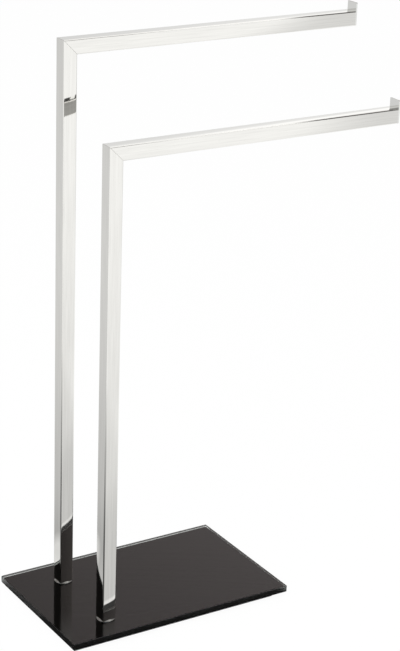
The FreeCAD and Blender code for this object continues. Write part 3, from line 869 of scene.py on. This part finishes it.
# Painted shade for mirrors: far off to the right of the stand, and more so behind it, the floor is painted
# darker.
front_y = add_node(tree, "ShaderNodeMath", {0: y, 1: 0.0}, operation="MINIMUM")
slant = add_node(tree, "ShaderNodeMath", {0: front_y, 1: 0.575}, operation="MULTIPLY")
across = add_node(tree, "ShaderNodeMath", {0: x, 1: 0.82, 2: slant}, operation="MULTIPLY_ADD")
dimming = add_node(tree, "ShaderNodeMapRange", {"Value": y, "To Min": 0.26, "To Max": 0.5})
far_off = add_node(
    tree,
    "ShaderNodeMapRange",
    {"Value": distance.outputs["Value"], "From Min": 1.0, "From Max": 1.7, "To Max": dimming},
)
right_side = add_node(
    tree, "ShaderNodeMapRange", {"Value": across, "From Max": 0.29}, interpolation_type="SMOOTHSTEP"
)
right_side = add_node(tree, "ShaderNodeMath", {0: right_side, 1: far_off}, operation="MULTIPLY")
right_side = add_node(tree, "ShaderNodeMath", {0: 1.0, 1: right_side}, operation="SUBTRACT")
# How far back and to the left a point lies, seen from the posts; the floor there is painted
# darker, as shade for mirrors.
back_left = add_node(tree, "ShaderNodeVectorMath", {0: place, 1: (-0.53, 0.85, 0)}, operation="DOT_PRODUCT")
back_side = add_node(
    tree, "ShaderNodeMapRange", {"Value": back_left.outputs["Value"], "From Min": 0.1, "From Max": 2.5}
)
back_side = add_node(tree, "ShaderNodeValToRGB", {"Fac": back_side})
set_levels(
    back_side,
    [(0.01, 1.0), (0.08, 0.67), (0.15, 0.71), (0.28, 0.715), (0.34, 0.74), (0.5, 0.735), (0.95, 0.645)],
)
# Painted light for mirrors: a pool of light painted on the floor just behind the posts and to their left.
painted_light_pool = add_node(tree, "ShaderNodeVectorMath", {0: place, 1: (-0.277, 0.17, 0)}, operation="DISTANCE")
painted_light_pool = add_node(
    tree,
    "ShaderNodeMapRange",
    {
        "Value": painted_light_pool.outputs["Value"],
        "From Min": 0.03,
        "From Max": 0.07,
        "To Min": 1.75,
        "To Max": 1.0,
    },
)
# Painted shade of the plate in front of it: a dark strip painted on the floor, and a
# painted light strip beyond it.
in_front = add_node(tree, "ShaderNodeMapRange", {"Value": y, "From Min": -0.2, "From Max": -0.1})
strip = add_node(tree, "ShaderNodeValToRGB", {"Fac": in_front})
set_levels(strip, [(0.28, 0.7), (0.33, 0.95), (0.4, 0.95), (0.41, 0.0), (0.84, 0.0), (0.86, 0.7)])
strip = add_node(tree, "ShaderNodeMath", {0: strip, 1: 0.7}, operation="DIVIDE")
# A narrower painted shade runs beside its short edges.
beside = within(tree, (x, y), (PLATE_CENTRE_X, 0), (PLATE_WIDTH + 2 * SIDE_SHADE, PLATE_DEPTH))
edge = add_node(tree, "ShaderNodeMath", {0: 1.0, 1: beside}, operation="SUBTRACT")
# Painted shade for mirrors: a dim wedge in front of the stand and to its left, which opens
# from the posts.
from_posts = add_node(
    tree,
    "ShaderNodeVectorMath",
    {0: place, 1: ((POSTS_X - TUBE_SIDE / 2) * MM, (POSTS_Y["short"] - TUBE_SIDE / 2) * MM, 0)},
    operation="SUBTRACT",
)
away = add_node(tree, "ShaderNodeVectorMath", {0: from_posts}, operation="LENGTH")
heading = add_node(tree, "ShaderNodeVectorMath", {0: from_posts}, operation="NORMALIZE")
heading = add_node(
    tree, "ShaderNodeVectorMath", {0: heading, 1: (-0.85, -0.53, 0)}, operation="DOT_PRODUCT"
)
wedge = add_node(
    tree,
    "ShaderNodeMapRange",
    {"Value": heading.outputs["Value"], "From Min": 0.12, "From Max": 0.24},
    interpolation_type="SMOOTHSTEP",
)
fading = add_node(
    tree,
    "ShaderNodeMapRange",
    {"Value": away.outputs["Value"], "From Min": 0.3, "From Max": 0.95, "To Min": 0.95, "To Max": 0.0},
)
wedge = add_node(tree, "ShaderNodeMath", {0: wedge, 1: fading}, operation="MULTIPLY")
wedge = add_node(tree, "ShaderNodeMath", {0: 1.0, 1: wedge}, operation="SUBTRACT")
shade = falloff
for part in (right_side, back_side, painted_light_pool, strip, edge, wedge):
    shade = add_node(tree, "ShaderNodeMath", {0: shade, 1: part}, operation="MULTIPLY")
# Painted light for mirrors: the floor to the right of the stand is painted bright, as if
# it lay open to the light.
to_right = add_node(tree, "ShaderNodeMapRange", {"Value": x, "From Min": 0.15, "From Max": 0.35})
off_line = add_node(tree, "ShaderNodeMath", {0: y}, operation="ABSOLUTE")
in_line = add_node(
    tree,
    "ShaderNodeMapRange",
    {"Value": off_line, "From Min": 0.6, "From Max": 0.85, "To Min": 1.0, "To Max": 0.0},
)
open_floor = add_node(tree, "ShaderNodeMath", {0: to_right, 1: in_line}, operation="MULTIPLY")
shade = add_node(tree, "ShaderNodeMapRange", {"Value": open_floor, "To Min": shade, "To Max": OPEN_LEVEL})
# Under the plate the floor glows with painted light, so that feet and bolts show from
# below; seen from above, it is painted dark there, as the plate's shade.
under = within(tree, (x, y), GLOW_CENTRE, GLOW_SIZE)
shade = add_node(tree, "ShaderNodeMapRange", {"Value": under, "To Min": shade, "To Max": GLOW_LEVEL})
rays = add_node(tree, "ShaderNodeLightPath")
gap = within(tree, (x, y), GAP_CENTRE, GAP_SIZE)
gap = add_node(tree, "ShaderNodeMath", {0: gap, 1: rays.outputs["Is Camera Ray"]}, operation="MULTIPLY")
plain = add_node(tree, "ShaderNodeMapRange", {"Value": gap, "To Min": 1.0, "To Max": GAP_LEVEL})
level = add_node(
    tree, "ShaderNodeMapRange", {"Value": rays.outputs["Is Glossy Ray"], "To Min": plain, "To Max": shade}
)
glow = add_node(tree, "ShaderNodeEmission", {"Color": level})
paint = add_node(tree, "ShaderNodeBsdfDiffuse", {"Color": linear("#FFFFFF")})
straight = add_node(
    tree,
    "ShaderNodeMath",
    {0: rays.outputs["Is Camera Ray"], 1: rays.outputs["Is Transmission Ray"]},
    operation="MAXIMUM",
)
straight = add_node(
    tree, "ShaderNodeMath", {0: straight, 1: rays.outputs["Is Glossy Ray"]}, operation="MAXIMUM"
)
share = add_node(tree, "ShaderNodeMath", {0: straight, 1: GLOW_SHARE}, operation="MULTIPLY")
below = add_node(tree, "ShaderNodeMath", {0: under, 1: GLOW_LEVEL}, operation="MULTIPLY")
share = add_node(tree, "ShaderNodeMath", {0: share, 1: below}, operation="MAXIMUM")
top_side = add_node(tree, "ShaderNodeMixShader", {0: share, 1: paint, 2: glow})
clear = add_node(tree, "ShaderNodeBsdfTransparent")
side = add_node(tree, "ShaderNodeNewGeometry")
both_sides = add_node(tree, "ShaderNodeMixShader", {0: side.outputs["Backfacing"], 1: top_side, 2: clear})
add_node(tree, "ShaderNodeOutputMaterial", {"Surface": both_sides})
floor_data.materials.append(floor_with_painted_light)

# The pale room. Its light is even; mirrors see it brightest low down behind the stand and in
# the soft box overhead, and dim in the corners to the left and in front.
WHITE, ROOM_LIGHT, BOX_POWER = (1.0, 1.0, 1.0, 1.0), (0.75, 0.75, 0.75, 1.0), 1.35
world = bpy.data.worlds.new("pale_room")
bpy.context.scene.world = world
world.use_nodes = True
tree = world.node_tree
tree.nodes.clear()
direction = add_node(tree, "ShaderNodeTexCoord").outputs["Generated"]
x, y, z = add_node(tree, "ShaderNodeSeparateXYZ", {0: direction}).outputs
height = add_node(tree, "ShaderNodeValToRGB", {"Fac": z})
set_levels(
    height,
    [(0.0, 0.73), (0.17, 0.745), (0.21, 0.79), (0.25, 1.0), (0.37, 0.764), (0.46, 0.655), (0.55, 0.618)],
)
right = add_node(
    tree,
    "ShaderNodeMapRange",
    {"Value": x, "From Min": 0.38, "From Max": 0.56, "To Min": 0.715, "To Max": 1.1},
)
left_height = add_node(tree, "ShaderNodeValToRGB", {"Fac": z})
set_levels(left_height, [(0.25, 1.0), (0.27, 0.5), (0.4, 0.1)])
left = add_node(
    tree, "ShaderNodeMapRange", {"Value": x, "From Min": -0.4, "From Max": 0.38, "To Min": left_height}
)
front_height = add_node(
    tree,
    "ShaderNodeMapRange",
    {"Value": z, "From Min": 0.26, "From Max": 0.47, "To Min": 0.11, "To Max": 0.62},
)
front = add_node(
    tree,
    "ShaderNodeMapRange",
    {"Value": y, "From Min": -0.3, "From Max": 0.1, "To Min": front_height, "To Max": 1.0},
)
sky = height
for part in (right, left, front):
    sky = add_node(tree, "ShaderNodeMath", {0: sky, 1: part}, operation="MULTIPLY")
overhead = add_node(tree, "ShaderNodeMapRange", {"Value": z, "From Min": 0.5, "From Max": 0.6})
sky = add_node(tree, "ShaderNodeMapRange", {"Value": overhead, "To Min": sky, "To Max": 0.6})
warmth = add_node(tree, "ShaderNodeMapRange", {"Value": z, "From Min": 0.28, "From Max": 0.45})
warm = add_node(tree, "ShaderNodeMix", {0: warmth, 6: WHITE, 7: linear("#FFF4F2")}, data_type="RGBA")
sky = add_node(tree, "ShaderNodeVectorMath", {0: warm.outputs[2], "Scale": sky}, operation="SCALE")
# The soft box hangs in front, to the right, with a dark flag along its right edge. At the
# right, strips of light go on below it.
soft_box = add_node(tree, "ShaderNodeValToRGB", {"Fac": x})
set_levels(soft_box, [(0.28, 0.35), (0.34, 1.0), (0.557, 1.0), (0.566, 0.1), (0.7, 0.1), (0.8, 0.35)])
box_glow = add_node(tree, "ShaderNodeValToRGB", {"Fac": z})
set_levels(box_glow, [(0.45, 0.75), (0.52, 1.0), (0.77, 1.0), (0.82, 0.7)])
box_glow = add_node(tree, "ShaderNodeMath", {0: box_glow, 1: BOX_POWER}, operation="MULTIPLY")
soft_box = add_node(tree, "ShaderNodeMath", {0: soft_box, 1: box_glow}, operation="MULTIPLY")
box_above = add_node(tree, "ShaderNodeMapRange", {"Value": z, "From Min": 0.49, "From Max": 0.53})
box_below = add_node(tree, "ShaderNodeValToRGB", {"Fac": z})
set_levels(
    box_below,
    [
        (0.17, 1.0),
        (0.19, 0.0),
        (0.28, 0.0),
        (0.31, 1.0),
        (0.43, 1.0),
        (0.45, 0.0),
        (0.49, 0.0),
        (0.53, 1.0),
    ],
)
at_right = add_node(tree, "ShaderNodeMapRange", {"Value": x, "From Min": 0.485, "From Max": 0.505})
above = add_node(tree, "ShaderNodeMapRange", {"Value": at_right, "To Min": box_above, "To Max": box_below})
box_depth = add_node(
    tree,
    "ShaderNodeMapRange",
    {"Value": y, "From Min": 0.45, "From Max": 0.55, "To Min": 1.0, "To Max": 0.0},
)
in_box = add_node(tree, "ShaderNodeMath", {0: above, 1: box_depth}, operation="MULTIPLY")
boxed = add_node(tree, "ShaderNodeMix", {0: in_box, 6: sky, 7: soft_box}, data_type="RGBA")
rays = add_node(tree, "ShaderNodeLightPath")
room = add_node(
    tree,
    "ShaderNodeMix",
    {0: rays.outputs["Is Glossy Ray"], 6: ROOM_LIGHT, 7: boxed.outputs[2]},
    data_type="RGBA",
)
straight = add_node(
    tree,
    "ShaderNodeMath",
    {0: rays.outputs["Is Camera Ray"], 1: rays.outputs["Is Transmission Ray"]},
    operation="MAXIMUM",
)
seen = add_node(tree, "ShaderNodeMix", {0: straight, 6: room.outputs[2], 7: WHITE}, data_type="RGBA")
light = add_node(tree, "ShaderNodeBackground", {"Color": seen.outputs[2]})
add_node(tree, "ShaderNodeOutputWorld", {"Surface": light})

# One soft lamp, up and to the left of the camera, throws a faint shade under the plate.
LAMP_SIZE, LAMP_POWER = (2.4, 2.4), 60
LAMP_PLACE, LAMP_AIM = (-1.6, -1.4, 3.0), (0, 0, 0.3)
lamp_data = bpy.data.lights.new("soft_lamp", "AREA")
lamp_data.shape = "RECTANGLE"
lamp_data.size, lamp_data.size_y = LAMP_SIZE
lamp_data.energy = LAMP_POWER
lamp = add_object("soft_lamp", lamp_data)
lamp.location = LAMP_PLACE
lamp.rotation_euler = (Vector(LAMP_AIM) - lamp.location).to_track_quat("-Z", "Y").to_euler()
lamp.visible_glossy = False
lamp.visible_camera = False

# ----------------------------
# The camera looks down on the stand from the front left.
# ----------------------------

CAMERA_PLACE = (-1.42831, -2.23121, 1.42222)
CAMERA_HEADING, CAMERA_PITCH, CAMERA_ROLL = -32.4394, 20.7804, 1.9208
CAMERA_LENS, CAMERA_REACH = 106.326, 100
camera_data = bpy.data.cameras.new("camera")
camera_data.lens = CAMERA_LENS
camera_data.clip_end = CAMERA_REACH
camera = add_object("camera", camera_data)
facing = (
    Matrix.Rotation(math.radians(CAMERA_HEADING), 3, "Z")
    @ Matrix.Rotation(math.radians(90 - CAMERA_PITCH), 3, "X")
    @ Matrix.Rotation(math.radians(CAMERA_ROLL), 3, "Z")
)
camera.rotation_mode = "QUATERNION"
camera.rotation_quaternion = facing.to_quaternion()
camera.location = CAMERA_PLACE
bpy.context.scene.camera = camera
bpy.context.scene.view_settings.view_transform = "Standard"
